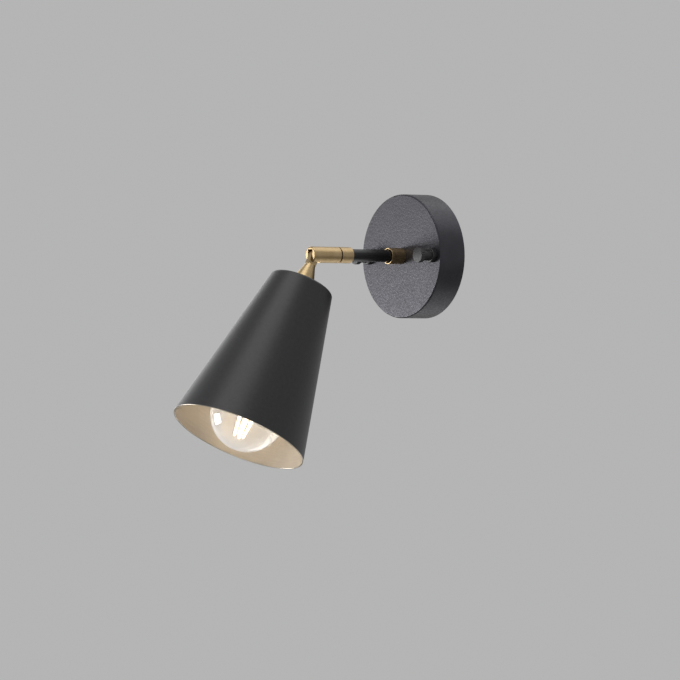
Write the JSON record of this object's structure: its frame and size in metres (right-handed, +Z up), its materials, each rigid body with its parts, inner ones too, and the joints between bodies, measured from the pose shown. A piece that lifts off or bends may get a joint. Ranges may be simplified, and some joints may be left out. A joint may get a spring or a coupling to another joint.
{
  "type": "wall light",
  "caption": "Wall light with a round canopy, a short arm that swivels, a knuckle that tilts, and a cone shade round a screw-in bulb.",
  "frame": {"origin": "centre of the canopy's back, on the wall, midway between the two wall-screw slots", "axes": "+Y into the wall, the arm runs along -Y, +Z up, +X to the right of a person who faces the wall"},
  "size_m": [0.11, 0.2396, 0.2206],
  "materials": {
    "canopy_coat": "matte",
    "knob_coat": "satin",
    "tube_coat": "satin",
    "shade_coat": "matte",
    "brass": "satin",
    "plain_brass": "satin",
    "zinc_steel": "satin",
    "spring_steel": "satin",
    "tinned_copper": "satin",
    "washer_plastic": "matte",
    "block_plastic": "satin",
    "bush_plastic": "satin",
    "holder_cap_coat": "satin",
    "holder_plastic": "satin",
    "porcelain": "gloss",
    "live_sleeve": "satin",
    "neutral_sleeve": "satin",
    "earth_sleeve": "satin",
    "bulb_glass": "gloss",
    "stem_glass": "gloss",
    "bulb_cap_metal": "satin",
    "contact_metal": "satin",
    "insulator_glass": "gloss",
    "driver_board": "satin",
    "filament_phosphor": "satin",
    "support_wire": "satin"
  },
  "bodies": {
    "wall_side": {"wall_bracket": "zinc_steel", "bracket_studs": "zinc_steel", "stud_lock_nuts": "zinc_steel", "canopy": "canopy_coat", "terminal_block": "block_plastic", "terminal_inserts": "plain_brass", "terminal_screws": "zinc_steel", "block_screw": "zinc_steel", "earth_tag": "tinned_copper", "earth_washer": "zinc_steel", "earth_screw": "zinc_steel", "arm_tube": "tube_coat", "tube_bush": "bush_plastic", "arm_lock_nut": "zinc_steel", "lock_washer": "zinc_steel", "arm_collar": "brass", "swivel_base": "brass", "live_lead": "live_sleeve", "neutral_lead": "neutral_sleeve", "earth_lead": "earth_sleeve"},
    "left_nut": {"thumb_nut_left": "knob_coat"},
    "right_nut": {"thumb_nut_right": "knob_coat"},
    "swivel": {"swivel_barrel": "brass", "swivel_clip": "spring_steel", "swivel_washer": "washer_plastic", "stop_pin": "zinc_steel", "pivot_screw": "brass", "knuckle_washers": "washer_plastic", "swivel_live_lead": "live_sleeve", "swivel_neutral_lead": "neutral_sleeve", "swivel_earth_lead": "earth_sleeve"},
    "head": {"knuckle_cone": "brass", "head_nipple": "zinc_steel", "shade": "shade_coat", "shade_washer": "zinc_steel", "shade_nut": "zinc_steel", "holder_cap": "holder_cap_coat", "holder_grub_screw": "zinc_steel", "holder_body": "holder_plastic", "holder_base": "porcelain", "holder_shell": "plain_brass", "centre_contact": "plain_brass", "holder_pillars": "plain_brass", "earth_pillar": "plain_brass", "holder_screws": "zinc_steel", "head_live_lead": "live_sleeve", "head_neutral_lead": "neutral_sleeve", "head_earth_lead": "earth_sleeve"},
    "bulb": {"bulb_glass": "bulb_glass", "bulb_screw_cap": "bulb_cap_metal", "bulb_insulator": "insulator_glass", "bulb_contact": "contact_metal", "bulb_driver": "driver_board", "bulb_stem": "stem_glass", "bulb_filaments": "filament_phosphor", "filament_wires": "support_wire"}
  },
  "joints": [
    {"name": "arm_swivel", "type": "hinge", "parent": "wall_side", "child": "swivel", "pos_m": [0, -0.0905, 0], "axis": [0, -1, 0], "range_deg": [-165, 165]},
    {"name": "head_tilt", "type": "hinge", "parent": "swivel", "child": "head", "pos_m": [0, -0.114, 0], "axis": [-1, 0, 0], "range_deg": [-28, 62]},
    {"name": "bulb_turn", "type": "hinge", "parent": "head", "child": "bulb", "pos_m": [0, -0.114, 0], "axis": [0, -0.4695, -0.8829], "continuous": true},
    {"name": "left_nut_turn", "type": "hinge", "parent": "wall_side", "child": "left_nut", "pos_m": [-0.04, -0.033, 0], "axis": [0, -1, 0], "continuous": true},
    {"name": "right_nut_turn", "type": "hinge", "parent": "wall_side", "child": "right_nut", "pos_m": [0.04, -0.033, 0], "axis": [0, -1, 0], "continuous": true}
  ]
}
